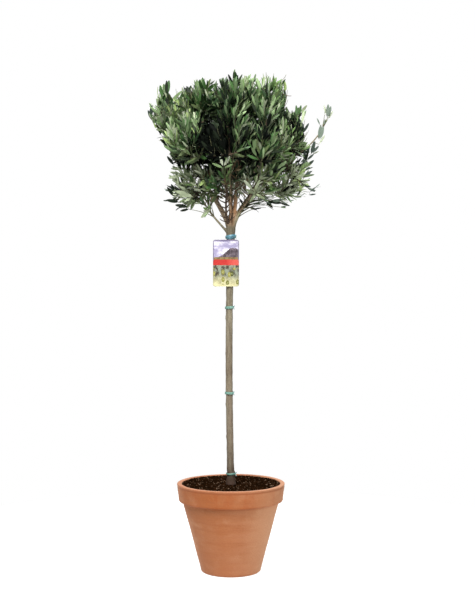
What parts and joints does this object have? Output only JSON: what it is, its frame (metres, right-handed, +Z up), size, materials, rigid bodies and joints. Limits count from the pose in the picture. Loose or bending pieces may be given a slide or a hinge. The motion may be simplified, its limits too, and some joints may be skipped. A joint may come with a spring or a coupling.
{
  "type": "potted olive tree",
  "caption": "Young standard olive tree with a bare straight trunk, a full rounded crown and a hanging label, rooted in a flared terracotta pot with a deep collar.",
  "frame": {"origin": "centre of the pot's flat underside", "axes": "+Z up along the trunk, -Y towards the front, where the label hangs, +X to the right seen from the front"},
  "size_m": [0.55, 0.4141, 1.3938],
  "materials": {
    "terracotta": "matt fired clay with pale bloom and darker edges",
    "compost": "crumbly, almost black brown",
    "bark": "smooth grey-olive young bark with small knots",
    "leaf": "leathery dark green above, silvery sage beneath",
    "tie": "teal plastic tie wire",
    "label": "printed plastic card"
  },
  "bodies": {
    "root": {"pot": "terracotta", "soil": "compost", "trunk": "bark", "bough_left": "bark", "bough_left_front": "bark", "bough_left_top": "bark", "bough_left_back": "bark", "bough_left_low": "bark", "bough_centre": "bark", "bough_front": "bark", "bough_front_low": "bark", "bough_right": "bark", "bough_right_top": "bark", "bough_right_front": "bark", "bough_right_low": "bark", "bough_right_spray": "bark", "bough_right_skirt": "bark", "bough_back": "bark", "bough_back_top": "bark", "bough_back_right": "bark", "foliage_left_upper": "leaf", "foliage_left_front": "leaf", "foliage_left_top": "leaf", "foliage_left_back": "leaf", "foliage_left_low": "leaf", "foliage_top": "leaf", "foliage_front": "leaf", "foliage_front_low": "leaf", "foliage_right_top": "leaf", "foliage_right_upper": "leaf", "foliage_right_front": "leaf", "foliage_right_low": "leaf", "foliage_right_spray": "leaf", "foliage_right_skirt": "leaf", "foliage_back_top": "leaf", "foliage_back": "leaf", "foliage_back_right": "leaf", "label": "label", "tie_top": "tie", "tie_upper": "tie", "tie_middle": "tie", "tie_foot": "tie"}
  },
  "joints": []
}
